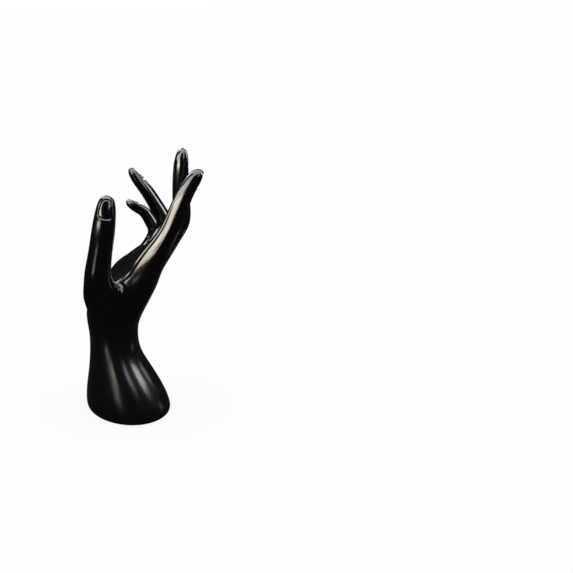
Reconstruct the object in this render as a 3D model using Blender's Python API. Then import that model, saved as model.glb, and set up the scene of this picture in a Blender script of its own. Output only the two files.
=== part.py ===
"""Hand jewelry stand: a slender right hand, its wrist and its flared foot, moulded as one piece.

The frame: +Z is up, +X is the way the back of the hand faces, -X the palm, -Y the thumb side and
+Y the little finger's side. The origin is the centre of the foot's flat underside.

The hand is one closed cage of quads. Each of the four fingers is a ray that starts in the palm, and
each ray carries a ring of eight corners along its bones. In the palm the rings of neighbouring rays are
joined side by side into one ring. The thumb is bridged to a gap left in the thumb side of the palm.
A Subdivision Surface modifier rounds the cage.
"""

import math
from collections import namedtuple

import bmesh
import bpy
from mathutils import Matrix, Vector

MM = 0.001

# The foot and the wrist: rings from the table upwards. Each is two half ellipses, towards the back and
# towards the palm, that meet on a line shifted along X. A squareness under 1 makes its corners fuller.
Ring = namedtuple("Ring", "height shift back pad half_width tilt twist squareness")
FOREARM = (
    Ring(0.0, 0.0, 32.2, 31.4, 43.6, 0.0, 17.0, 1.0),
    Ring(4.5, 0.0, 33.3, 32.8, 45.2, 0.0, 17.0, 1.0),
    Ring(18.0, -2.0, 30.4, 30.4, 42.0, 0.0, 14.0, 1.0),
    Ring(33.0, -4.8, 25.0, 25.4, 36.5, 0.0, 8.0, 1.0),
    Ring(48.0, -8.4, 20.0, 20.4, 30.0, 2.0, 4.0, 1.0),
    Ring(63.0, -8.8, 18.4, 19.6, 26.0, 10.0, 0.0, 0.95),
    Ring(79.0, -5.2, 16.2, 28.4, 26.2, 17.0, 0.0, 0.80),
)
FOOT_INSETS = (0.80, 0.45)

# The hand leaves the wrist here, leaning back from the upright.
WRIST = (-9.4, 0.0, 66.0)
HAND_LEAN = 27.0

# A bone's length with the bend at its near end, in degrees towards the palm.
Bone = namedtuple("Bone", "length bend")
# reach, side and rise place the knuckle: along the hand, towards the thumb and towards the back.
Ray = namedtuple("Ray", "name reach side rise splay bones half_width half_depth palm web")
RAYS = (
    Ray("index", 62.0, 22.0, 1.8, 1.5,
        (Bone(43.0, 1.0), Bone(25.0, 3.0), Bone(25.5, -11.0)), 7.8, 7.6, (32.0, 16.5, 15.0, 15.0), 1.45),
    Ray("middle", 63.0, 4.0, 3.9, 0.0,
        (Bone(43.5, -7.0), Bone(33.0, 34.0), Bone(27.0, -5.5)), 7.8, 7.3, (28.0, 16.5, 15.5, 16.5), 1.45),
    Ray("ring", 57.5, -14.0, 4.6, -1.5,
        (Bone(39.0, 6.0), Bone(28.0, 50.0), Bone(25.0, 6.0)), 7.0, 6.0, (24.5, 21.0, 21.0, 20.0), 1.50),
    Ray("little", 50.0, -30.5, 2.6, -4.0,
        (Bone(32.0, 6.0), Bone(18.0, 48.0), Bone(18.5, 32.0)), 6.3, 5.6, (21.5, 24.0, 22.5, 18.5), 1.45),
)
# At the wrist the rays lie at this share of their knuckles' distance, moved towards the thumb.
RAY_SPREAD = 0.62
RAY_SHIFT = 2.6

# The palm's rings: share of the way from wrist to knuckle, half the ray's breadth, the back of the
# middle rays, and the back of the outer rays as a share of it.
PalmRow = namedtuple("PalmRow", "share half_breadth back outer_back")
PALM_ROWS = (
    PalmRow(0.43, 6.6, 12.3, 0.80),
    PalmRow(0.74, 7.0, 11.8, 0.86),
    PalmRow(0.89, 7.3, 10.3, 0.92),
    PalmRow(1.04, 7.5, 8.2, 1.00),
)
# A ray's slanting corners lie this share of its depth out: beside another ray, and at the hand's edge.
INNER_CORNER = 0.97
EDGE_CORNER = 0.76

# A finger's rings: bone, share along it, and width, back and pad as shares of the finger's own.
Station = namedtuple("Station", "bone share width back pad")
STATIONS = (
    Station(0, 0.42, 1.06, 1.02, 1.00),
    Station(0, 0.72, 1.00, 1.02, 1.08),
    Station(1, 0.00, 1.03, 1.12, 1.00),
    Station(1, 0.48, 0.94, 0.92, 0.98),
    Station(2, 0.00, 0.93, 0.84, 0.90),
    Station(2, 0.36, 0.91, 0.72, 0.90),
    Station(2, 0.62, 0.86, 0.62, 0.82),
    Station(2, 0.87, 0.66, 0.42, 0.54),
)

# The thumb: its root from the wrist's centre, and its bones as length, lean back and swing out.
THUMB_ROOT = (-10.0, -14.0, 15.0)
ThumbBone = namedtuple("ThumbBone", "length lean out")
THUMB_BONES = (
    ThumbBone(49.0, 0.5, 24.0),
    ThumbBone(31.0, 10.0, 4.0),
    ThumbBone(32.5, 9.0, 0.0),
)
THUMB_HALF_WIDTH = 8.9
THUMB_HALF_DEPTH = 8.4
THUMB_STATIONS = (
    Station(0, 0.80, 1.24, 1.22, 1.20),
    Station(0, 1.00, 1.14, 1.10, 1.12),
    Station(1, 0.50, 1.00, 0.96, 1.00),
    Station(2, 0.00, 1.02, 1.00, 0.98),
    Station(2, 0.38, 0.94, 0.86, 1.00),
    Station(2, 0.64, 0.84, 0.72, 0.96),
    Station(2, 0.88, 0.60, 0.42, 0.70),
)
# The ring round the ball of the thumb lies this far from the palm towards the thumb. Its corners, from
# the palm's side over the nail's side to the web, are moved from there along X, Y and Z. At the end they
# and the gap's corners are drawn this share of the way to the middle of their neighbours.
BALL_ALONG = 0.5
BALL_EASE = 0.35
BALL_SHIFTS = (
    (-8.0, 0.0, 1.0),
    (-7.6, -0.5, -4.0),
    (-2.0, -2.0, -2.5),
    (0.0, 0.0, 0.0),
    (0.0, 0.0, -0.5),
    (-1.5, -3.0, -6.5),
    (3.0, 2.0, -2.5),
    (1.0, 4.5, -2.0),
)

# The gap's first two corners, on the palm's side, are moved out with the ball.
HEEL_SHIFTS = ((-3.0, 0.0, 0.0), (-3.0, -1.5, 0.0))
# The columns along the little finger's edge, eased in the same way where the wrist runs into the palm.
LITTLE_EDGE = range(9, 17)
WRIST_EASE = 0.5

# A nail covers the faces between the last rings of a finger. Each step draws its edge in by the first
# length and moves it out of the surface by the second: a groove round the nail, then its plate.
NAIL_RINGS = 3
NAIL_GROOVE = (0.45, -0.35)
NAIL_PLATE = (0.35, 0.55)
SMOOTHING = 1

BLACK_PLASTIC = (0.012, 0.012, 0.013, 1.0)
GLOSS_ROUGHNESS = 0.16

CORNERS = 8
SIDE_RADIAL, BACK_RADIAL, BACK, BACK_ULNAR, SIDE_ULNAR, PAD_ULNAR, PAD, PAD_RADIAL = range(CORNERS)


def hull(corners):
    """How far out a ring's corners stand for the rounded surface to pass through its radius."""
    return 6.0 / (4.0 + 2.0 * math.cos(2.0 * math.pi / corners))


def turn(degrees, axis):
    return Matrix.Rotation(math.radians(degrees), 3, axis)


def hand_axes():
    """Columns: towards the thumb side, towards the back of the hand, and along the hand."""
    lean = math.radians(HAND_LEAN)
    side = Vector((0.0, -1.0, 0.0))
    back = Vector((math.cos(lean), 0.0, -math.sin(lean)))
    return Matrix((side, back, side.cross(back))).transposed()


def section(centre, axes, half_width, back, pad):
    """Eight corners round a bone, from the thumb side over the back."""
    grow = hull(CORNERS)
    corners = []
    for index in range(CORNERS):
        angle = 2.0 * math.pi * index / CORNERS
        half_depth = back if math.sin(angle) > 0 else pad
        offset = Vector((half_width * math.cos(angle), half_depth * math.sin(angle), 0.0))
        corners.append(centre + axes @ (offset * grow))
    return corners


def level_with_neighbours(corners, centre, axes, ray_index, depths):
    """Sets the depth of a ray's slanting corners so that it runs into the rays beside it without a groove.

    depths holds, for the back and for the pad, how far out each of the four rays reaches there.
    """
    outward = axes.col[1]
    for corner, level, beside in ((BACK_RADIAL, BACK, ray_index - 1), (BACK_ULNAR, BACK, ray_index + 1),
                                  (PAD_RADIAL, PAD, ray_index - 1), (PAD_ULNAR, PAD, ray_index + 1)):
        own = depths[level][ray_index]
        if 0 <= beside < len(RAYS):
            wanted = (own + (depths[level][beside] - own) / 3.0) * INNER_CORNER
        else:
            wanted = own * EDGE_CORNER
        depth = (corners[corner] - centre).dot(outward)
        corners[corner] = corners[corner] + outward * (math.copysign(wanted, depth) - depth)
    return corners


def stations_of(knuckle, frames, bones, stations, half_width, half_depth):
    """The rings of a finger or thumb, and the point at its tip."""
    starts = [knuckle]
    for axes, bone in zip(frames, bones):
        starts.append(starts[-1] + axes.col[2] * bone.length)
    rings = []
    for station in stations:
        axes = frames[station.bone]
        if station.share == 0.0 and station.bone > 0:
            before = frames[station.bone - 1]
            axes = before.to_quaternion().slerp(axes.to_quaternion(), 0.5).to_matrix()
        reach = bones[station.bone].length * station.share
        centre = starts[station.bone] + frames[station.bone].col[2] * reach
        rings.append(section(centre, axes, half_width * station.width,
                             half_depth * station.back, half_depth * station.pad))
    return rings, starts[-1]


def knuckle_of(ray, axes):
    return Vector(WRIST) + axes @ Vector((ray.side, ray.rise, ray.reach))


def finger_rings(ray):
    axes = hand_axes()
    frame = axes @ turn(ray.splay, "Y")
    frames = []
    for bone in ray.bones:
        frame = frame @ turn(bone.bend, "X")
        frames.append(frame)
    root = STATIONS[0]._replace(pad=STATIONS[0].pad * ray.web)
    rings, tip = stations_of(knuckle_of(ray, axes), frames, ray.bones, (root,) + STATIONS[1:],
                             ray.half_width, ray.half_depth)
    centre = (rings[0][SIDE_RADIAL] + rings[0][SIDE_ULNAR]) / 2.0
    grow = hull(CORNERS)
    depths = {BACK: [other.half_depth * root.back * grow for other in RAYS],
              PAD: [other.half_depth * STATIONS[0].pad * other.web * grow for other in RAYS]}
    rings[0] = level_with_neighbours(rings[0], centre, frames[0], RAYS.index(ray), depths)
    return rings, tip


def thumb_rings():
    frames = []
    for bone in THUMB_BONES:
        lean, out = math.tan(math.radians(bone.lean)), math.tan(math.radians(bone.out))
        along = Vector((lean, -out, 1.0)).normalized()
        nail = Vector((0.0, -1.0, 0.0))
        side = nail.cross(along).normalized()
        frames.append(Matrix((side, along.cross(side), along)).transposed())
    root = Vector(WRIST) + Vector(THUMB_ROOT)
    return stations_of(root, frames, THUMB_BONES, THUMB_STATIONS, THUMB_HALF_WIDTH, THUMB_HALF_DEPTH)


def palm_columns():
    """The corners of a palm ring in order: (ray, corner), where the two outer sides have one each."""
    columns = [(0, SIDE_RADIAL)]
    for ray in range(len(RAYS)):
        columns += [(ray, BACK_RADIAL), (ray, BACK), (ray, BACK_ULNAR)]
    columns.append((len(RAYS) - 1, SIDE_ULNAR))
    for ray in reversed(range(len(RAYS))):
        columns += [(ray, PAD_ULNAR), (ray, PAD), (ray, PAD_RADIAL)]
    return columns


def column_angles(blend):
    """Where the columns stand round the forearm: evenly at blend 0, and as they cross the palm at 1."""
    columns = palm_columns()
    across = []
    for ray, corner in columns:
        side = RAYS[ray].side * RAY_SPREAD + RAY_SHIFT
        across.append(side + PALM_ROWS[0].half_breadth * math.cos(2.0 * math.pi * corner / CORNERS))
    middle = (max(across) + min(across)) / 2.0
    half = (max(across) - min(across)) / 2.0
    angles = []
    for index, side in enumerate(across):
        even = 2.0 * math.pi * index / len(columns)
        matched = math.acos(max(-1.0, min(1.0, (side - middle) / half)))
        if even > math.pi:
            matched = 2.0 * math.pi - matched
        angles.append(even + (matched - even) * blend)
    return angles


def forearm_ring(ring, blend):
    """One ring round the forearm, with a corner for each column of the palm."""
    grow = hull(len(palm_columns()))
    tilt = turn(ring.tilt, "Y") @ turn(ring.twist, "Z")
    corners = []
    for angle in column_angles(blend):
        depth = ring.back if math.sin(angle) > 0 else ring.pad
        out, across = (math.copysign(abs(share) ** ring.squareness, share)
                       for share in (math.sin(angle), math.cos(angle)))
        offset = Vector((depth * out, -ring.half_width * across, 0.0))
        corners.append(Vector((ring.shift, 0.0, ring.height)) + tilt @ (offset * grow))
    return corners


def palm_ring(row_index):
    """One ring round the palm, made of the four rays' own corners."""
    row = PALM_ROWS[row_index]
    axes = hand_axes()
    grow = hull(CORNERS)
    backs = [row.back * (row.outer_back if index in (0, len(RAYS) - 1) else 1.0)
             for index in range(len(RAYS))]
    depths = {BACK: backs, PAD: [ray.palm[row_index] for ray in RAYS]}
    sections = []
    for index, ray in enumerate(RAYS):
        start = Vector(WRIST) + axes @ Vector((ray.side * RAY_SPREAD + RAY_SHIFT, 0.0, 0.0))
        centre = start.lerp(knuckle_of(ray, axes), row.share)
        corners = section(centre, axes, row.half_breadth, backs[index] / grow, ray.palm[row_index] / grow)
        sections.append(level_with_neighbours(corners, centre, axes, index, depths))
    return [sections[ray][corner] for ray, corner in palm_columns()]


def add_ring(cage, corners):
    return [cage.verts.new(corner * MM) for corner in corners]


def bridge(cage, lower, upper, skip=()):
    """Quads from one ring of corners to the next."""
    count = len(lower)
    for index in range(count):
        if index in skip:
            continue
        after = (index + 1) % count
        cage.faces.new((lower[index], lower[after], upper[after], upper[index]))


def close_ring(cage, ring, centre):
    """Quads from a ring of an even number of corners to one corner in its middle."""
    middle = cage.verts.new(centre * MM)
    for index in range(0, len(ring), 2):
        cage.faces.new((ring[index - 1], ring[index], ring[(index + 1) % len(ring)], middle))


def add_nail(cage, rings):
    """A nail on the back of the last bone: a groove round it, then the plate, proud of the groove."""
    plate = []
    for lower, upper in zip(rings, rings[1:]):
        for corner in (BACK_RADIAL, BACK):
            corners = {lower[corner], lower[corner + 1], upper[corner], upper[corner + 1]}
            plate += [face for face in lower[corner].link_faces if set(face.verts) == corners]
    for thickness, depth in (NAIL_GROOVE, NAIL_PLATE):
        bmesh.ops.inset_region(cage, faces=plate, use_boundary=True, use_even_offset=True,
                               thickness=thickness * MM, depth=depth * MM)


def ease(cage, verts, share):
    """Draws corners this share of the way to the middle of their neighbours."""
    bmesh.ops.smooth_vert(cage, verts=verts, factor=share,
                          use_axis_x=True, use_axis_y=True, use_axis_z=True)


def add_tube(cage, rings, tip):
    """A finger or thumb from its first ring to its tip. Gives back its rings of corners."""
    made = [add_ring(cage, ring) for ring in rings]
    for lower, upper in zip(made, made[1:]):
        bridge(cage, lower, upper)
    close_ring(cage, made[-1], tip)
    return made


def join_fingers(cage, knuckles, fingers):
    """Quads from the palm's last ring to the fingers' first rings, with a web between neighbours."""
    columns = palm_columns()
    at_knuckle = dict(zip(columns, knuckles))
    roots = {(ray, corner): vert for ray, rings in enumerate(fingers)
             for corner, vert in enumerate(rings[0])}
    for first, second in zip(columns, columns[1:] + columns[:1]):
        cage.faces.new((at_knuckle[first], at_knuckle[second], roots[second], roots[first]))
    for near, far in zip(fingers, fingers[1:]):
        near, far = near[0], far[0]
        cage.faces.new((near[BACK_ULNAR], far[BACK_RADIAL], far[SIDE_RADIAL], near[SIDE_ULNAR]))
        cage.faces.new((near[SIDE_ULNAR], far[SIDE_RADIAL], far[PAD_RADIAL], near[PAD_ULNAR]))


def ball_ring(opening, root):
    """The ring round the ball of the thumb, between the gap in the palm and the thumb's first ring."""
    return [near.co.lerp(far.co, BALL_ALONG) / MM + Vector(shift)
            for near, far, shift in zip(opening, root, BALL_SHIFTS)]


def add_underside(cage, rim):
    """The flat underside: rings drawn in from the rim, then a middle."""
    centre = Vector((FOREARM[0].shift, 0.0, FOREARM[0].height))
    outer = rim
    for share in FOOT_INSETS:
        inner = [cage.verts.new((centre * MM).lerp(vert.co, share)) for vert in rim]
        bridge(cage, inner, outer)
        outer = inner
    close_ring(cage, outer, centre)


def build_cage():
    cage = bmesh.new()
    top = FOREARM[-1].height
    rings = [add_ring(cage, forearm_ring(ring, ring.height / top)) for ring in FOREARM]
    rings += [add_ring(cage, palm_ring(index)) for index in range(len(PALM_ROWS))]
    thumb_row = len(FOREARM) - 1
    count = len(palm_columns())
    left, centre, right = count - 2, count - 1, 0
    for index, (lower, upper) in enumerate(zip(rings, rings[1:])):
        bridge(cage, lower, upper, (left, centre) if index in (thumb_row, thumb_row + 1) else ())
    add_underside(cage, rings[0])

    wrist_edge = [ring[column] for ring in rings[thumb_row:thumb_row + 2] for column in LITTLE_EDGE]
    ease(cage, wrist_edge, WRIST_EASE)

    fingers = [add_tube(cage, *finger_rings(ray)) for ray in RAYS]
    join_fingers(cage, rings[-1], fingers)

    low, mid, high = rings[thumb_row:thumb_row + 3]
    opening = (mid[left], low[left], low[centre], low[right],
               mid[right], high[right], high[centre], high[left])
    cage.verts.remove(mid[centre])
    for vert, shift in zip(opening, HEEL_SHIFTS):
        vert.co += Vector(shift) * MM
    thumb = add_tube(cage, *thumb_rings())
    ball = add_ring(cage, ball_ring(opening, thumb[0]))
    bridge(cage, opening, ball)
    bridge(cage, ball, thumb[0])
    ease(cage, ball + list(opening), BALL_EASE)

    bmesh.ops.recalc_face_normals(cage, faces=cage.faces)
    for limb in fingers + [thumb]:
        add_nail(cage, limb[-NAIL_RINGS:])
    return cage


def gloss_black():
    material = bpy.data.materials.new("gloss_black")
    material.use_nodes = True
    shader = material.node_tree.nodes["Principled BSDF"]
    shader.inputs["Base Color"].default_value = BLACK_PLASTIC
    shader.inputs["Roughness"].default_value = GLOSS_ROUGHNESS
    shader.inputs["Metallic"].default_value = 0.0
    return material


def build_hand():
    cage = build_cage()
    mesh = bpy.data.meshes.new("hand_stand")
    cage.to_mesh(mesh)
    cage.free()
    mesh.shade_smooth()
    mesh.materials.append(gloss_black())
    hand = bpy.data.objects.new("hand_stand", mesh)
    bpy.context.scene.collection.objects.link(hand)
    rounding = hand.modifiers.new("rounding", "SUBSURF")
    rounding.levels = SMOOTHING
    rounding.render_levels = SMOOTHING
    return hand


def main():
    for old in list(bpy.data.objects):
        bpy.data.objects.remove(old)
    build_hand()


main()
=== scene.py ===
# %% [markdown]
# A hand for hanging rings and bracelets on, moulded in one piece of black plastic: four fingers and a
# thumb, a slim wrist, and a foot that flares out like a bell. Nothing moves and nothing is screwed on.
# Its whole character is one unbroken skin, so this lesson builds that skin from one coarse cage of
# four-sided faces and lets Blender's Subdivision Surface round it. Carving the same hand from balls and
# tubes joined by booleans would leave a seam at each joint, and black gloss shows every seam.
#
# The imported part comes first. It is the frame that the skin has to fit, and it says how large the hand is.

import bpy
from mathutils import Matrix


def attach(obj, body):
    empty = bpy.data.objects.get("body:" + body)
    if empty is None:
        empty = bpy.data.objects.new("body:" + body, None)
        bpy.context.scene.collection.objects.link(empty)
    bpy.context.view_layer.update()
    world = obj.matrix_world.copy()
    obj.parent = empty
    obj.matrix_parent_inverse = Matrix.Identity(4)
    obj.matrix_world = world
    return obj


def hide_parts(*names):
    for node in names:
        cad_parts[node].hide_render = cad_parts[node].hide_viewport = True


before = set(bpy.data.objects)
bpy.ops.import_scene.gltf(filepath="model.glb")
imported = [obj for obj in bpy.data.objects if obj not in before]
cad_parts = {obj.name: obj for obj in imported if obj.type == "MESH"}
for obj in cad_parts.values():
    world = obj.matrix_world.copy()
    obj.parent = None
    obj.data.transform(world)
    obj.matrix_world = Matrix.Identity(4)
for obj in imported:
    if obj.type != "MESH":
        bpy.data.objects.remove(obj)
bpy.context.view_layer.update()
print("nodes:", sorted(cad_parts))

# %% Modules and units
import math
from collections import namedtuple

import bmesh
import bpy
from mathutils import Matrix, Vector

MM = 0.001
print("one unit of the tables below is", MM, "m")

# %% [markdown]
# The directions: +Z is up, +X is the way the back of the hand faces, -X the palm, -Y the thumb's side.
#
# The foot and the wrist are plain cross-sections stacked from the table upwards. A turned profile would
# be quicker, but a wrist is wider than it is thick, and this one is twisted a little on its foot. So
# each ring has two depths, one towards the back and one towards the palm, a width and a turn of its own.
# A squareness under 1 fills the ring's corners, as the bones of a wrist do.

# %% Rings of the foot and the wrist
Ring = namedtuple("Ring", "height shift back pad half_width tilt twist squareness")
FOREARM = (
    Ring(0.0, 0.0, 32.2, 31.4, 43.6, 0.0, 17.0, 1.0),
    Ring(4.5, 0.0, 33.3, 32.8, 45.2, 0.0, 17.0, 1.0),
    Ring(18.0, -2.0, 30.4, 30.4, 42.0, 0.0, 14.0, 1.0),
    Ring(33.0, -4.8, 25.0, 25.4, 36.5, 0.0, 8.0, 1.0),
    Ring(48.0, -8.4, 20.0, 20.4, 30.0, 2.0, 4.0, 1.0),
    Ring(63.0, -8.8, 18.4, 19.6, 26.0, 10.0, 0.0, 0.95),
    Ring(79.0, -5.2, 16.2, 28.4, 26.2, 17.0, 0.0, 0.80),
)
FOOT_INSETS = (0.80, 0.45)
print(len(FOREARM), "rings up to", FOREARM[-1].height, "mm")

# %% [markdown]
# A hand is easiest to think of as rays: each finger starts at the wrist, runs through the palm to its
# knuckle, and goes on as three bones. A ray holds where its knuckle is (reach along the hand, side
# towards the thumb, rise towards the back), its bones with the bend before each, the finger's half
# width and half depth, and how deep the palm is below it at four places.
#
# Anatomy gives the order of size, and the picture gives the gesture: the first finger is straight, and
# the others curl more the further they are from the thumb.

# %% Rays of the four fingers
Bone = namedtuple("Bone", "length bend")
Ray = namedtuple("Ray", "name reach side rise splay bones half_width half_depth palm web")
RAYS = (
    Ray("index", 62.0, 22.0, 1.8, 1.5,
        (Bone(43.0, 1.0), Bone(25.0, 3.0), Bone(25.5, -11.0)), 7.8, 7.6, (32.0, 16.5, 15.0, 15.0), 1.45),
    Ray("middle", 63.0, 4.0, 3.9, 0.0,
        (Bone(43.5, -7.0), Bone(33.0, 34.0), Bone(27.0, -5.5)), 7.8, 7.3, (28.0, 16.5, 15.5, 16.5), 1.45),
    Ray("ring", 57.5, -14.0, 4.6, -1.5,
        (Bone(39.0, 6.0), Bone(28.0, 50.0), Bone(25.0, 6.0)), 7.0, 6.0, (24.5, 21.0, 21.0, 20.0), 1.50),
    Ray("little", 50.0, -30.5, 2.6, -4.0,
        (Bone(32.0, 6.0), Bone(18.0, 48.0), Bone(18.5, 32.0)), 6.3, 5.6, (21.5, 24.0, 22.5, 18.5), 1.45),
)
for ray in RAYS:
    print(ray.name, "finger:", sum(bone.length for bone in ray.bones), "mm past its knuckle")

# %% Where the hand leaves the wrist
WRIST = (-9.4, 0.0, 66.0)
HAND_LEAN = 27.0
RAY_SPREAD = 0.62
RAY_SHIFT = 2.6


def turn(degrees, axis):
    return Matrix.Rotation(math.radians(degrees), 3, axis)


def hand_axes():
    """Columns: towards the thumb side, towards the back of the hand, and along the hand."""
    lean = math.radians(HAND_LEAN)
    side = Vector((0.0, -1.0, 0.0))
    back = Vector((math.cos(lean), 0.0, -math.sin(lean)))
    return Matrix((side, back, side.cross(back))).transposed()


def knuckle_of(ray, axes):
    return Vector(WRIST) + axes @ Vector((ray.side, ray.rise, ray.reach))


print("the hand leans back", HAND_LEAN, "degrees; its first knuckle is at", knuckle_of(RAYS[0], hand_axes()))

# %% [markdown]
# A finger's cross-section has eight corners: one on each side, three over the back, three under the
# pad. Fewer would turn square, and more would be tedious to place. Subdivision draws the surface inside
# its corners, so each ring is drawn larger by the exact factor that this shrinkage has on a circle.

# %% A ring of eight corners
CORNERS = 8
SIDE_RADIAL, BACK_RADIAL, BACK, BACK_ULNAR, SIDE_ULNAR, PAD_ULNAR, PAD, PAD_RADIAL = range(CORNERS)


def hull(corners):
    """How far out a ring's corners stand for the rounded surface to pass through its radius."""
    return 6.0 / (4.0 + 2.0 * math.cos(2.0 * math.pi / corners))


def section(centre, axes, half_width, back, pad):
    """Eight corners round a bone, from the thumb side over the back."""
    grow = hull(CORNERS)
    corners = []
    for index in range(CORNERS):
        angle = 2.0 * math.pi * index / CORNERS
        half_depth = back if math.sin(angle) > 0 else pad
        offset = Vector((half_width * math.cos(angle), half_depth * math.sin(angle), 0.0))
        corners.append(centre + axes @ (offset * grow))
    return corners


print("corners of an eight-sided ring stand", round(hull(CORNERS), 3), "of its radius out")

# %% [markdown]
# Fingers are not cylinders. They swell at the joints, flatten over the nail and fill out under the tip.
# A short list of stations along the bones holds that, as shares of the finger's own width and depth, so
# one list serves all four fingers and a second one the thumb.

# %% Stations along a finger and along the thumb
Station = namedtuple("Station", "bone share width back pad")
STATIONS = (
    Station(0, 0.42, 1.06, 1.02, 1.00),
    Station(0, 0.72, 1.00, 1.02, 1.08),
    Station(1, 0.00, 1.03, 1.12, 1.00),
    Station(1, 0.48, 0.94, 0.92, 0.98),
    Station(2, 0.00, 0.93, 0.84, 0.90),
    Station(2, 0.36, 0.91, 0.72, 0.90),
    Station(2, 0.62, 0.86, 0.62, 0.82),
    Station(2, 0.87, 0.66, 0.42, 0.54),
)
THUMB_ROOT = (-10.0, -14.0, 15.0)
ThumbBone = namedtuple("ThumbBone", "length lean out")
THUMB_BONES = (
    ThumbBone(49.0, 0.5, 24.0),
    ThumbBone(31.0, 10.0, 4.0),
    ThumbBone(32.5, 9.0, 0.0),
)
THUMB_HALF_WIDTH = 8.9
THUMB_HALF_DEPTH = 8.4
THUMB_STATIONS = (
    Station(0, 0.80, 1.24, 1.22, 1.20),
    Station(0, 1.00, 1.14, 1.10, 1.12),
    Station(1, 0.50, 1.00, 0.96, 1.00),
    Station(2, 0.00, 1.02, 1.00, 0.98),
    Station(2, 0.38, 0.94, 0.86, 1.00),
    Station(2, 0.64, 0.84, 0.72, 0.96),
    Station(2, 0.88, 0.60, 0.42, 0.70),
)
print(len(STATIONS), "stations on a finger,", len(THUMB_STATIONS), "on the thumb")

# %% Walk along the bones


def stations_of(knuckle, frames, bones, stations, half_width, half_depth):
    """The rings of a finger or thumb, and the point at its tip."""
    starts = [knuckle]
    for axes, bone in zip(frames, bones):
        starts.append(starts[-1] + axes.col[2] * bone.length)
    rings = []
    for station in stations:
        axes = frames[station.bone]
        if station.share == 0.0 and station.bone > 0:
            before = frames[station.bone - 1]
            axes = before.to_quaternion().slerp(axes.to_quaternion(), 0.5).to_matrix()
        reach = bones[station.bone].length * station.share
        centre = starts[station.bone] + frames[station.bone].col[2] * reach
        rings.append(section(centre, axes, half_width * station.width,
                             half_depth * station.back, half_depth * station.pad))
    return rings, starts[-1]


def thumb_rings():
    frames = []
    for bone in THUMB_BONES:
        lean, out = math.tan(math.radians(bone.lean)), math.tan(math.radians(bone.out))
        along = Vector((lean, -out, 1.0)).normalized()
        nail = Vector((0.0, -1.0, 0.0))
        side = nail.cross(along).normalized()
        frames.append(Matrix((side, along.cross(side), along)).transposed())
    root = Vector(WRIST) + Vector(THUMB_ROOT)
    return stations_of(root, frames, THUMB_BONES, THUMB_STATIONS, THUMB_HALF_WIDTH, THUMB_HALF_DEPTH)


print("tip of the thumb:", thumb_rings()[1])

# %% [markdown]
# Four round rays side by side would make a palm like a raft of logs. The corners between two rays are
# therefore set to depths between theirs, a third of the way to the neighbour, and almost as far out as
# the middle corners. Only the hand's two edges keep their roundness.
#
# One of those edges is not quite round. A broad highlight runs along the first finger, and on a round
# edge it would be a thin line, because the surface turns away too fast. So the corner between the
# thumb's side and the pad is drawn in and the pad's own corner moved over, which leaves a flat face.

# %% Let neighbouring rays run into each other
INNER_CORNER = 0.97
EDGE_CORNER = 0.76
EDGE_DRAWN_IN = 0.30
EDGE_SHIFT = 2.4
FLAT_STATIONS = 6


def level_with_neighbours(corners, centre, axes, ray_index, depths):
    """depths holds, for the back and for the pad, how far out each of the four rays reaches there."""
    outward = axes.col[1]
    for corner, level, beside in ((BACK_RADIAL, BACK, ray_index - 1), (BACK_ULNAR, BACK, ray_index + 1),
                                  (PAD_RADIAL, PAD, ray_index - 1), (PAD_ULNAR, PAD, ray_index + 1)):
        own = depths[level][ray_index]
        if 0 <= beside < len(RAYS):
            wanted = (own + (depths[level][beside] - own) / 3.0) * INNER_CORNER
        else:
            wanted = own * EDGE_CORNER
        depth = (corners[corner] - centre).dot(outward)
        corners[corner] = corners[corner] + outward * (math.copysign(wanted, depth) - depth)
    return corners


def flatten_edge(corners):
    """Draws the edge between the thumb side and the pad out into a narrow flat face."""
    centre = (corners[SIDE_RADIAL] + corners[SIDE_ULNAR]) / 2.0
    outward = (corners[BACK] - centre).normalized()
    across = (corners[SIDE_RADIAL] - centre).normalized()
    depth = (corners[PAD_RADIAL] - centre).dot(outward)
    corners[PAD_RADIAL] = corners[PAD_RADIAL] - outward * depth * EDGE_DRAWN_IN
    corners[PAD] = corners[PAD] + across * EDGE_SHIFT
    return corners


def finger_rings(ray):
    axes = hand_axes()
    bone_frame = axes @ turn(ray.splay, "Y")
    frames = []
    for bone in ray.bones:
        bone_frame = bone_frame @ turn(bone.bend, "X")
        frames.append(bone_frame)
    root = STATIONS[0]._replace(pad=STATIONS[0].pad * ray.web)
    rings, tip = stations_of(knuckle_of(ray, axes), frames, ray.bones, (root,) + STATIONS[1:],
                             ray.half_width, ray.half_depth)
    centre = (rings[0][SIDE_RADIAL] + rings[0][SIDE_ULNAR]) / 2.0
    grow = hull(CORNERS)
    depths = {BACK: [other.half_depth * root.back * grow for other in RAYS],
              PAD: [other.half_depth * STATIONS[0].pad * other.web * grow for other in RAYS]}
    rings[0] = level_with_neighbours(rings[0], centre, frames[0], RAYS.index(ray), depths)
    if ray is RAYS[0]:
        rings[:FLAT_STATIONS] = [flatten_edge(ring) for ring in rings[:FLAT_STATIONS]]
    return rings, tip


print("tip of the first finger:", finger_rings(RAYS[0])[1])

# %% [markdown]
# The palm is one ring of 26 corners at each of four rows: three corners over the back of each ray,
# three under its pad, and one on each edge of the hand. The forearm's rings get the same 26 columns, so
# that every face between foot and knuckles has four sides. At the foot the columns stand evenly, and at
# the wrist as the palm has them.

# %% Rows of the palm
PalmRow = namedtuple("PalmRow", "share half_breadth back outer_back")
PALM_ROWS = (
    PalmRow(0.43, 6.6, 12.3, 0.80),
    PalmRow(0.74, 7.0, 11.8, 0.86),
    PalmRow(0.89, 7.3, 10.3, 0.92),
    PalmRow(1.04, 7.5, 8.2, 1.00),
)


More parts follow.
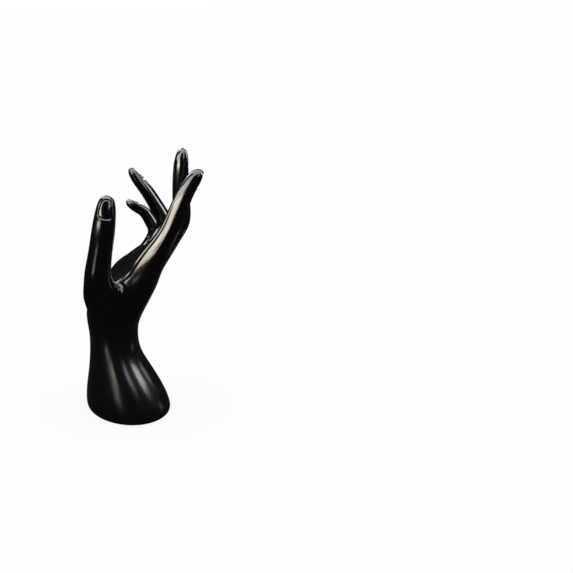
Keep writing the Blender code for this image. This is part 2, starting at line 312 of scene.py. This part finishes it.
def palm_columns():
    """The corners of a palm ring in order: (ray, corner), where the two outer sides have one each."""
    columns = [(0, SIDE_RADIAL)]
    for ray_index in range(len(RAYS)):
        columns += [(ray_index, BACK_RADIAL), (ray_index, BACK), (ray_index, BACK_ULNAR)]
    columns.append((len(RAYS) - 1, SIDE_ULNAR))
    for ray_index in reversed(range(len(RAYS))):
        columns += [(ray_index, PAD_ULNAR), (ray_index, PAD), (ray_index, PAD_RADIAL)]
    return columns


def palm_ring(row_index):
    """One ring round the palm, made of the four rays' own corners."""
    row = PALM_ROWS[row_index]
    axes = hand_axes()
    grow = hull(CORNERS)
    backs = [row.back * (row.outer_back if index in (0, len(RAYS) - 1) else 1.0)
             for index in range(len(RAYS))]
    depths = {BACK: backs, PAD: [ray.palm[row_index] for ray in RAYS]}
    sections = []
    for index, ray in enumerate(RAYS):
        start = Vector(WRIST) + axes @ Vector((ray.side * RAY_SPREAD + RAY_SHIFT, 0.0, 0.0))
        centre = start.lerp(knuckle_of(ray, axes), row.share)
        corners = section(centre, axes, row.half_breadth, backs[index] / grow, ray.palm[row_index] / grow)
        sections.append(level_with_neighbours(corners, centre, axes, index, depths))
    sections[0] = flatten_edge(sections[0])
    return [sections[ray_index][corner] for ray_index, corner in palm_columns()]


print(len(palm_columns()), "columns round the hand")

# %% Rings of the forearm, in the palm's columns


def column_angles(blend):
    """Where the columns stand round the forearm: evenly at blend 0, and as they cross the palm at 1."""
    columns = palm_columns()
    across = []
    for ray_index, corner in columns:
        side = RAYS[ray_index].side * RAY_SPREAD + RAY_SHIFT
        across.append(side + PALM_ROWS[0].half_breadth * math.cos(2.0 * math.pi * corner / CORNERS))
    middle = (max(across) + min(across)) / 2.0
    half = (max(across) - min(across)) / 2.0
    angles = []
    for index, side in enumerate(across):
        even = 2.0 * math.pi * index / len(columns)
        matched = math.acos(max(-1.0, min(1.0, (side - middle) / half)))
        if even > math.pi:
            matched = 2.0 * math.pi - matched
        angles.append(even + (matched - even) * blend)
    return angles


def forearm_ring(ring, blend):
    """One ring round the forearm, with a corner for each column of the palm."""
    grow = hull(len(palm_columns()))
    tilt = turn(ring.tilt, "Y") @ turn(ring.twist, "Z")
    corners = []
    for angle in column_angles(blend):
        depth = ring.back if math.sin(angle) > 0 else ring.pad
        out, across = (math.copysign(abs(share) ** ring.squareness, share)
                       for share in (math.sin(angle), math.cos(angle)))
        offset = Vector((depth * out, -ring.half_width * across, 0.0))
        corners.append(Vector((ring.shift, 0.0, ring.height)) + tilt @ (offset * grow))
    return corners


print("the foot's rim stands out to", max(corner.x for corner in forearm_ring(FOREARM[1], 0.0)), "mm")

# %% [markdown]
# The thumb does not grow from the end of the palm but from its side. Two rows of palm faces are left
# out there, which opens a gap with eight corners, and the thumb's first ring also has eight. One ring
# between the two shapes the ball of the thumb and the web of skin towards the first finger. Its corners
# are nudged: outwards on the palm's side, where the ball swells, and down in the web. The heel
# of the hand is nudged outwards too, so that the ball runs into the wrist. A little smoothing afterwards
# evens out what the nudges leave.

# %% The ring round the ball of the thumb
BALL_ALONG = 0.5
BALL_EASE = 0.55
BALL_SHIFTS = (
    (-8.0, 0.0, 1.0),
    (-7.6, -0.5, -4.0),
    (-2.0, -2.0, -2.5),
    (0.0, 0.0, 0.0),
    (0.0, 0.0, -0.5),
    (-1.5, -3.0, -6.5),
    (3.0, 2.0, -2.5),
    (1.0, 4.5, -2.0),
)
HEEL_SHIFTS = (
    (-4.5, 0.0, 0.0),
    (-5.0, -1.5, 0.0),
    (-3.0, 0.0, 0.0),
    (-1.5, 0.0, 0.0),
    (-1.5, 0.0, 0.0),
)
LITTLE_EDGE = range(9, 17)
WRIST_EASE = 0.8


def ball_ring(opening, root):
    return [near.co.lerp(far.co, BALL_ALONG) / MM + Vector(shift)
            for near, far, shift in zip(opening, root, BALL_SHIFTS)]


print("the ball's ring has", len(BALL_SHIFTS), "corners")

# %% [markdown]
# Now the rings become faces. Three helpers do all of it: one adds a ring's corners, one bridges two
# rings with four-sided faces, and one closes a ring on a point in its middle.

# %% Helpers that make faces


def add_ring(cage, corners):
    return [cage.verts.new(corner * MM) for corner in corners]


def bridge(cage, lower, upper, skip=()):
    """Quads from one ring of corners to the next."""
    count = len(lower)
    for index in range(count):
        if index in skip:
            continue
        after = (index + 1) % count
        cage.faces.new((lower[index], lower[after], upper[after], upper[index]))


def close_ring(cage, ring, centre):
    """Quads from a ring of an even number of corners to one corner in its middle."""
    middle = cage.verts.new(centre * MM)
    for index in range(0, len(ring), 2):
        cage.faces.new((ring[index - 1], ring[index], ring[(index + 1) % len(ring)], middle))


def ease(cage, verts, share):
    """Draws corners this share of the way to the middle of their neighbours."""
    bmesh.ops.smooth_vert(cage, verts=verts, factor=share,
                          use_axis_x=True, use_axis_y=True, use_axis_z=True)


def add_tube(cage, rings, tip):
    """A finger or thumb from its first ring to its tip. Gives back its rings of corners."""
    made = [add_ring(cage, ring) for ring in rings]
    for lower, upper in zip(made, made[1:]):
        bridge(cage, lower, upper)
    close_ring(cage, made[-1], tip)
    return made


print("helpers ready")

# %% Fingers onto the palm, and the flat underside


def join_fingers(cage, knuckles, fingers):
    """Quads from the palm's last ring to the fingers' first rings, with a web between neighbours."""
    columns = palm_columns()
    at_knuckle = dict(zip(columns, knuckles))
    roots = {(index, corner): vert for index, rings in enumerate(fingers)
             for corner, vert in enumerate(rings[0])}
    for first, second in zip(columns, columns[1:] + columns[:1]):
        cage.faces.new((at_knuckle[first], at_knuckle[second], roots[second], roots[first]))
    for near, far in zip(fingers, fingers[1:]):
        near, far = near[0], far[0]
        cage.faces.new((near[BACK_ULNAR], far[BACK_RADIAL], far[SIDE_RADIAL], near[SIDE_ULNAR]))
        cage.faces.new((near[SIDE_ULNAR], far[SIDE_RADIAL], far[PAD_RADIAL], near[PAD_ULNAR]))


def add_underside(cage, rim):
    """The flat underside: rings drawn in from the rim, then a middle."""
    centre = Vector((FOREARM[0].shift, 0.0, FOREARM[0].height))
    outer = rim
    for share in FOOT_INSETS:
        inner = [cage.verts.new((centre * MM).lerp(vert.co, share)) for vert in rim]
        bridge(cage, inner, outer)
        outer = inner
    close_ring(cage, outer, centre)


print("the underside is drawn in at", FOOT_INSETS, "of the rim")

# %% [markdown]
# The nails are part of the same moulding. They could be separate shells, but then a dark gap would run
# round each one. Here four faces over the last bone are inset four times. The first inset keeps the
# fold of skin tight, the second drops into a groove, the third is the groove's floor, and the last lifts
# the plate out of it again.

# %% Nails pressed into the cage
NAIL_RINGS = 3
NAIL_STEPS = ((0.25, 0.0), (0.75, -0.60), (0.15, 0.0), (0.40, 0.60))


def add_nail(cage, rings):
    plate = []
    for lower, upper in zip(rings, rings[1:]):
        for corner in (BACK_RADIAL, BACK):
            corners = {lower[corner], lower[corner + 1], upper[corner], upper[corner + 1]}
            plate += [face for face in lower[corner].link_faces if set(face.verts) == corners]
    for thickness, depth in NAIL_STEPS:
        bmesh.ops.inset_region(cage, faces=plate, use_boundary=True, use_even_offset=True,
                               thickness=thickness * MM, depth=depth * MM)


print("steps of a nail, in mm:", NAIL_STEPS)

# %% Put the cage together


def build_cage():
    cage = bmesh.new()
    top = FOREARM[-1].height
    rings = [add_ring(cage, forearm_ring(ring, ring.height / top)) for ring in FOREARM]
    rings += [add_ring(cage, palm_ring(index)) for index in range(len(PALM_ROWS))]
    thumb_row = len(FOREARM) - 1
    count = len(palm_columns())
    left, centre, right = count - 2, count - 1, 0
    for index, (lower, upper) in enumerate(zip(rings, rings[1:])):
        bridge(cage, lower, upper, (left, centre) if index in (thumb_row, thumb_row + 1) else ())
    add_underside(cage, rings[0])

    wrist_edge = [ring[column] for ring in rings[thumb_row:thumb_row + 2] for column in LITTLE_EDGE]
    ease(cage, wrist_edge, WRIST_EASE)

    fingers = [add_tube(cage, *finger_rings(ray)) for ray in RAYS]
    join_fingers(cage, rings[-1], fingers)

    low, mid, high = rings[thumb_row:thumb_row + 3]
    opening = (mid[left], low[left], low[centre], low[right],
               mid[right], high[right], high[centre], high[left])
    cage.verts.remove(mid[centre])
    heel = (mid[left], low[left], low[left - 1], low[left - 2], rings[thumb_row - 1][left])
    for vert, shift in zip(heel, HEEL_SHIFTS):
        vert.co += Vector(shift) * MM
    thumb = add_tube(cage, *thumb_rings())
    ball = add_ring(cage, ball_ring(opening, thumb[0]))
    bridge(cage, opening, ball)
    bridge(cage, ball, thumb[0])
    ease(cage, ball + list(opening), BALL_EASE)

    bmesh.ops.recalc_face_normals(cage, faces=cage.faces)
    for limb in fingers + [thumb]:
        add_nail(cage, limb[-NAIL_RINGS:])
    return cage


cage = build_cage()
print("cage:", len(cage.verts), "corners,", len(cage.faces), "faces")

# %% [markdown]
# Three levels of subdivision turn each face of the cage into 64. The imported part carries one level,
# which is enough to stand and to be touched, but gloss shows facets that the eye would miss in plaster.

# %% Round the cage into the hand's skin
SMOOTHING = 3

mesh = bpy.data.meshes.new("hand_skin")
cage.to_mesh(mesh)
cage.free()
mesh.shade_smooth()
hand = bpy.data.objects.new("hand_skin", mesh)
bpy.context.scene.collection.objects.link(hand)
rounding = hand.modifiers.new("rounding", "SUBSURF")
rounding.levels = SMOOTHING
rounding.render_levels = SMOOTHING
print("faces after rounding:", len(mesh.polygons) * 4 ** SMOOTHING)

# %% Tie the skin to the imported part
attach(hand, "root")
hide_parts("hand_stand")
print("hand_skin stands for hand_stand")

# %% [markdown]
# Materials are sums, so they are easier to read as sums than as a web of nodes. This small class wraps
# one socket. Adding or multiplying it adds a Math node, and one method adds any other kind of node.

# %% A socket that can be added and multiplied


class Shade:
    """One socket of a node tree. Arithmetic with it adds Math nodes."""

    def __init__(self, tree, socket=None):
        self.tree = tree
        self.socket = socket

    def node(self, kind, settings, sockets, output=0):
        """Adds a node: its settings first, then a value or a link for each named socket."""
        made = self.tree.nodes.new(kind)
        for name, value in settings.items():
            setattr(made, name, value)
        for name, value in sockets.items():
            if isinstance(value, Shade):
                self.tree.links.new(value.socket, made.inputs[name])
            else:
                made.inputs[name].default_value = value
        return Shade(self.tree, made.outputs[output])

    def math(self, operation, first, second):
        return self.node("ShaderNodeMath", {"operation": operation}, {0: first, 1: second})

    def __add__(self, other):
        return self.math("ADD", self, other)

    def __sub__(self, other):
        return self.math("SUBTRACT", self, other)

    def __rsub__(self, other):
        return self.math("SUBTRACT", other, self)

    def __mul__(self, other):
        return self.math("MULTIPLY", self, other)

    __radd__ = __add__
    __rmul__ = __mul__


print("class ready")

# %% [markdown]
# The plastic is close to black all through. What tells it from a flat black shape is its surface: the
# hand itself is polished, with long clean highlights, while the foot is satin and a little grainy, so
# the same lights spread into broad soft streaks there. Height above the table blends one finish into
# the other. The foot is also painted a shade lighter in cloudy patches: painted sheen, the grey that its
# satin shows in light. A very shallow waviness, as moulded plastic has, keeps the reflections from
# looking drawn.

# %% Gloss black plastic
BLACK = (0.0012, 0.0012, 0.0014, 1.0)
# A lighter black for the foot only: painted sheen, the grey that its satin shows in light.
PAINTED_SHEEN_BLACK = (0.0034, 0.0032, 0.0030, 1.0)
SATIN_BELOW = 0.050
GLOSS_ABOVE = 0.088
GLOSS_ROUGHNESS = 0.16
SATIN_ROUGHNESS = 0.20
CLOUD_SCALE = 45.0
CLOUD_SPREAD = 0.05
GRAIN_SPREAD = 0.25
PLASTIC_IOR = 1.5
COAT = 0.35
COAT_ROUGHNESS = 0.07
WAVE_SCALE = 60.0
WAVE_DEPTH = 0.00002
GRAIN_SCALE = 1500.0
GRAIN_DEPTH = 0.00003


def gloss_black():
    material = bpy.data.materials.new("gloss_black")
    material.use_nodes = True
    tree = material.node_tree
    shader = tree.nodes["Principled BSDF"]
    start = Shade(tree)
    place = start.node("ShaderNodeTexCoord", {}, {}, "Object")
    height = start.node("ShaderNodeSeparateXYZ", {}, {"Vector": place}, "Z")
    satin = start.node("ShaderNodeMapRange", {"interpolation_type": "SMOOTHSTEP"},
                       {"Value": height, "From Min": SATIN_BELOW, "From Max": GLOSS_ABOVE,
                        "To Min": 1.0, "To Max": 0.0})
    grain = start.node("ShaderNodeTexNoise", {}, {"Vector": place, "Scale": GRAIN_SCALE, "Detail": 3.0})
    cloud = start.node("ShaderNodeTexNoise", {}, {"Vector": place, "Scale": CLOUD_SCALE, "Detail": 2.0})
    wave = start.node("ShaderNodeTexNoise", {}, {"Vector": place, "Scale": WAVE_SCALE, "Detail": 1.0})

    # Painted sheen: the satin foot takes the lighter black in cloudy patches.
    colour = start.node("ShaderNodeMix", {"data_type": "RGBA"},
                        {"Factor": satin * cloud, "A": BLACK, "B": PAINTED_SHEEN_BLACK}, "Result")
    finish = GLOSS_ROUGHNESS + satin * (SATIN_ROUGHNESS - GLOSS_ROUGHNESS)
    roughness = finish + (cloud - 0.5) * CLOUD_SPREAD + (grain - 0.5) * satin * GRAIN_SPREAD
    relief = wave * WAVE_DEPTH + grain * satin * GRAIN_DEPTH
    bump = start.node("ShaderNodeBump", {}, {"Height": relief, "Distance": 1.0})
    coat = (1.0 - satin) * COAT

    for name, value in {"Base Color": colour, "Roughness": roughness, "Normal": bump,
                        "Coat Weight": coat}.items():
        tree.links.new(value.socket, shader.inputs[name])
    shader.inputs["IOR"].default_value = PLASTIC_IOR
    shader.inputs["Coat Roughness"].default_value = COAT_ROUGHNESS
    return material


mesh.materials.append(gloss_black())
print("satin below", SATIN_BELOW, "m, gloss above", GLOSS_ABOVE, "m")

# %% [markdown]
# The studio. The floor and everything behind it are white to the camera, but the hand mirrors a dark
# room with a few lit panels, which is what makes it look deep black. A Light Path node can tell the
# two apart: camera rays see white, and glossy rays see only a faint glow of it. The floor mixes in some
# real light as well, so that the hand still casts its soft shadow.

# %% White floor
FLOOR_SIZE = 6.0
FLOOR_GLOW = 0.88
MIRRORED = 0.02
WHITE = (1.0, 1.0, 1.0, 1.0)
PAPER = (0.9, 0.9, 0.9, 1.0)


def kinds_of_ray(start):
    """Three sockets, each 1 for its own kind of ray: from the camera, through glass, and mirrored."""
    path = start.tree.nodes.new("ShaderNodeLightPath")
    camera = Shade(start.tree, path.outputs["Is Camera Ray"])
    through = Shade(start.tree, path.outputs["Is Transmission Ray"])
    mirrored = Shade(start.tree, path.outputs["Is Glossy Ray"])
    return camera, through, mirrored


def floor_white():
    material = bpy.data.materials.new("floor_white")
    material.use_nodes = True
    tree = material.node_tree
    tree.nodes.remove(tree.nodes["Principled BSDF"])
    start = Shade(tree)
    camera, through, mirrored = kinds_of_ray(start)
    paper = start.node("ShaderNodeBsdfDiffuse", {}, {"Color": PAPER})
    glow = start.node("ShaderNodeEmission", {},
                      {"Color": WHITE, "Strength": camera + through + mirrored * MIRRORED})
    mixed = start.node("ShaderNodeMixShader", {}, {0: camera * FLOOR_GLOW + through + mirrored,
                                                   1: paper, 2: glow})
    tree.links.new(mixed.socket, tree.nodes["Material Output"].inputs["Surface"])
    return material


bpy.ops.mesh.primitive_grid_add(x_subdivisions=4, y_subdivisions=4, size=FLOOR_SIZE, location=(0, 0, 0))
floor = bpy.context.active_object
floor.name = "floor"
floor.data.materials.append(floor_white())
print("floor", FLOOR_SIZE, "m wide")

# %% White surroundings
FILL = 1.0

world = bpy.data.worlds.new("studio")
bpy.context.scene.world = world
world.use_nodes = True
sky = Shade(world.node_tree)
camera, through, mirrored = kinds_of_ray(sky)
seen = camera + through
strength = seen + mirrored * MIRRORED + (1.0 - seen - mirrored) * FILL
background = world.node_tree.nodes["Background"]
background.inputs["Color"].default_value = WHITE
world.node_tree.links.new(strength.socket, background.inputs["Strength"])
print("the surroundings give", FILL, "of plain fill light")

# %% [markdown]
# Black gloss is lit by what it reflects, so each lamp is placed by the highlight that it makes. The
# surroundings already give the plastic its own colour, and the lamps are left out of diffuse light, so
# they add nothing but their mirror images.
#
# Two warm panels on the left make the broad band on the first finger, and the panels above them light
# its tip. The low ones near the table are seen by surfaces that stand upright or lean over: the thumb's
# side and the back of the hand. The foot faces upwards, so it sees only the panels that reach high, and
# each narrow one makes a streak on it. The panels behind the hand and overhead draw the fingers' upper
# edges, and the fold at the thumb's nail.

# %% Lit panels
Panel = namedtuple("Panel", "name azimuth distance low high width colour radiance")
WARM = (1.0, 0.90, 0.74)
COOL = (0.82, 0.91, 1.0)
NEUTRAL = (1.0, 1.0, 1.0)
CREAM = (1.0, 0.96, 0.88)
PANELS = (
    Panel("warm_low", -46.0, 0.70, 0.132, 0.21, 0.34, WARM, 9.0),
    Panel("warm_left", -58.0, 0.40, 0.172, 0.26, 0.26, WARM, 12.0),
    Panel("left", -77.0, 0.45, 0.26, 0.40, 0.50, CREAM, 8.0),
    Panel("left_high", -66.0, 0.45, 0.40, 0.62, 0.34, COOL, 7.0),
    Panel("low_left", -42.0, 0.36, 0.002, 0.055, 0.10, NEUTRAL, 2.0),
    Panel("front_right", 34.0, 0.45, 0.24, 0.50, 0.14, NEUTRAL, 4.0),
    Panel("front_right_high", 54.0, 0.45, 0.34, 0.70, 0.12, COOL, 4.0),
    Panel("right", 89.0, 0.45, 0.20, 0.38, 0.18, NEUTRAL, 9.5),
    Panel("right_high", 96.0, 0.42, 0.36, 0.80, 0.22, COOL, 6.5),
    Panel("back_right", 120.0, 0.45, 0.12, 0.20, 0.08, COOL, 3.2),
    Panel("low_right", 100.0, 0.20, 0.001, 0.03, 0.04, NEUTRAL, 0.6),
    Panel("back", 165.0, 0.45, 0.25, 0.38, 0.34, NEUTRAL, 8.0),
    Panel("back_left", -150.0, 0.45, 0.34, 0.60, 0.30, NEUTRAL, 6.5),
)


def add_lamp(name, colour, radiance, size, size_y):
    """A lit rectangle that shows in mirrored rays only."""
    light = bpy.data.lights.new(name, "AREA")
    light.shape = "RECTANGLE"
    light.size = size
    light.size_y = size_y
    light.color = colour
    light.energy = radiance * math.pi * size * size_y
    lamp = bpy.data.objects.new(name, light)
    lamp.visible_camera = False
    lamp.visible_diffuse = False
    bpy.context.scene.collection.objects.link(lamp)
    return lamp


def add_panel(panel):
    """An upright lamp that faces the hand."""
    angle = math.radians(panel.azimuth)
    out = Vector((math.sin(angle), -math.cos(angle), 0.0))
    lamp = add_lamp(panel.name, panel.colour, panel.radiance, panel.width, panel.high - panel.low)
    lamp.location = out * panel.distance + Vector((0.0, 0.0, (panel.low + panel.high) / 2.0))
    lamp.rotation_euler = out.to_track_quat("Z", "Y").to_euler()
    return lamp


for panel in PANELS:
    lamp = add_panel(panel)
    place = tuple(round(value, 3) for value in lamp.location)
    print(panel.name, "at", place, round(lamp.data.energy, 3), "W")

# %% Panel overhead
OVERHEAD_RADIANCE = 5.0
OVERHEAD_SIZE = (0.90, 0.95)
OVERHEAD_PLACE = (-0.05, -0.12, 0.75)

overhead = add_lamp("overhead", COOL, OVERHEAD_RADIANCE, *OVERHEAD_SIZE)
overhead.location = OVERHEAD_PLACE
print("overhead", round(overhead.data.energy, 2), "W")

# %% [markdown]
# The picture looks down on the hand by 18 degrees through a long lens. The hand stands left of the
# middle of the picture, but it is not seen from the side: the camera stands straight in front of it and
# is only turned to the right.

# %% Camera
LENS = 85.0
SENSOR = 36.0
PICTURE = 573
LOOK_DOWN = 18.0
MM_PER_PIXEL = 0.8
AIM = Vector((17.35, 0.0, 98.0)) * MM
HAND_PIXEL = 146.0

elevation = math.radians(LOOK_DOWN)
distance = MM_PER_PIXEL * MM * PICTURE * LENS / SENSOR
towards_camera = Vector((0.0, -math.cos(elevation), math.sin(elevation)))
camera_data = bpy.data.cameras.new("camera")
camera_data.lens = LENS
camera_data.sensor_width = SENSOR
camera_object = bpy.data.objects.new("camera", camera_data)
camera_object.location = AIM + towards_camera * distance
middle = AIM + Vector((PICTURE / 2.0 - HAND_PIXEL, 0.0, 0.0)) * MM_PER_PIXEL * MM
camera_object.rotation_euler = (middle - camera_object.location).to_track_quat("-Z", "Y").to_euler()
bpy.context.scene.collection.objects.link(camera_object)
bpy.context.scene.camera = camera_object
bpy.context.scene.view_settings.view_transform = "Standard"
print("camera", round(distance, 3), "m from the hand")
